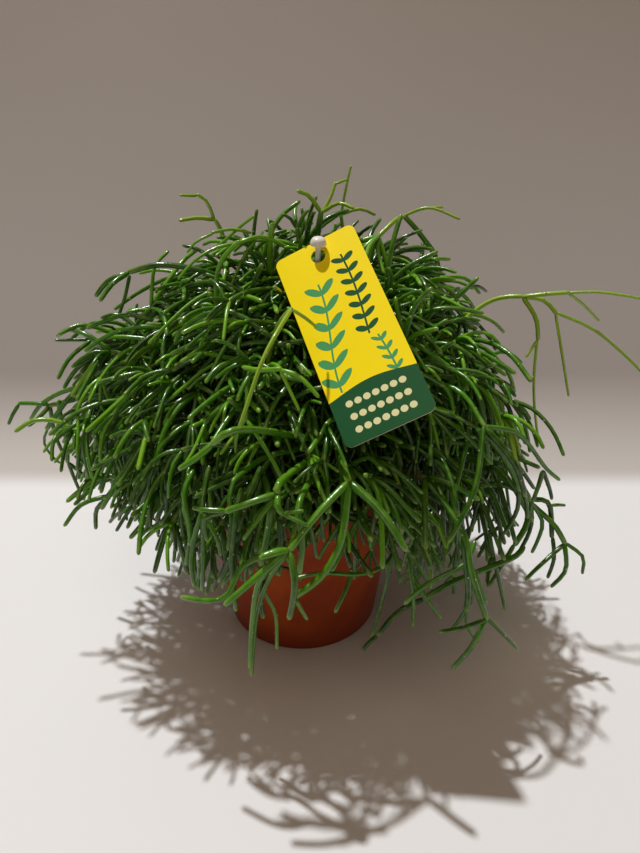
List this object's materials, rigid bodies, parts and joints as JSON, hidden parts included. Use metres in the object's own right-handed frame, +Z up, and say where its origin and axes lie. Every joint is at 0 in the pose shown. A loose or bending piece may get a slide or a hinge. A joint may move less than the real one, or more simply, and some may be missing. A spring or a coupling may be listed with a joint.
{
  "type": "potted mistletoe cactus",
  "caption": "Mistletoe cactus in a tapered nursery pot: a dense mop of thin forking green stems arching over the rim, with a plain plant label on a stake.",
  "frame": {"origin": "centre of the pot's flat base, on the surface that it stands on", "axes": "+Z up through the pot, -Y towards the plant's front, where the label faces, +X to the right as seen from the front"},
  "size_m": [0.3378, 0.2623, 0.2492],
  "materials": {
    "terracotta_plastic": "satin, deep orange-brown, slightly dusty",
    "potting_soil": "loose dark peat with bark crumbs",
    "clear_stake": "clear to milky moulded plastic",
    "label_card": "printed and laminated, yellow and green",
    "green_stem": "waxy dark green skin with small pale areoles",
    "young_stem": "waxy yellow-green skin of newer growth"
  },
  "bodies": {
    "root": {"pot": "terracotta_plastic", "soil": "potting_soil", "label_stake": "clear_stake", "label_card": "label_card", "arch_left": "green_stem", "arch_low_right": "green_stem", "arch_right": "young_stem", "fork_front": "green_stem", "fork_low_right": "green_stem", "fork_right": "green_stem", "fork_top": "young_stem", "fork_top_left": "young_stem", "fork_top_right": "young_stem", "hook_left": "green_stem", "reach_left": "green_stem", "reach_mid_left": "green_stem", "shoot_front": "young_stem", "shoot_top": "young_stem", "spray_02": "green_stem", "spray_03": "green_stem", "spray_04": "green_stem", "spray_05": "green_stem", "spray_06": "green_stem", "spray_07": "green_stem", "spray_08": "green_stem", "spray_09": "green_stem", "spray_10": "green_stem", "spray_11": "green_stem", "spray_12": "green_stem", "spray_13": "green_stem", "spray_14": "green_stem", "spray_15": "green_stem", "spray_16": "green_stem", "spray_17": "green_stem", "spray_18": "green_stem", "spray_19": "green_stem", "spray_20": "green_stem", "spray_21": "green_stem", "spray_22": "green_stem", "spray_23": "green_stem", "spray_24": "green_stem", "spray_25": "green_stem", "spray_26": "green_stem", "spray_27": "green_stem", "spray_28": "green_stem", "spray_30": "green_stem", "spray_31": "green_stem", "spray_34": "green_stem"}
  },
  "joints": []
}
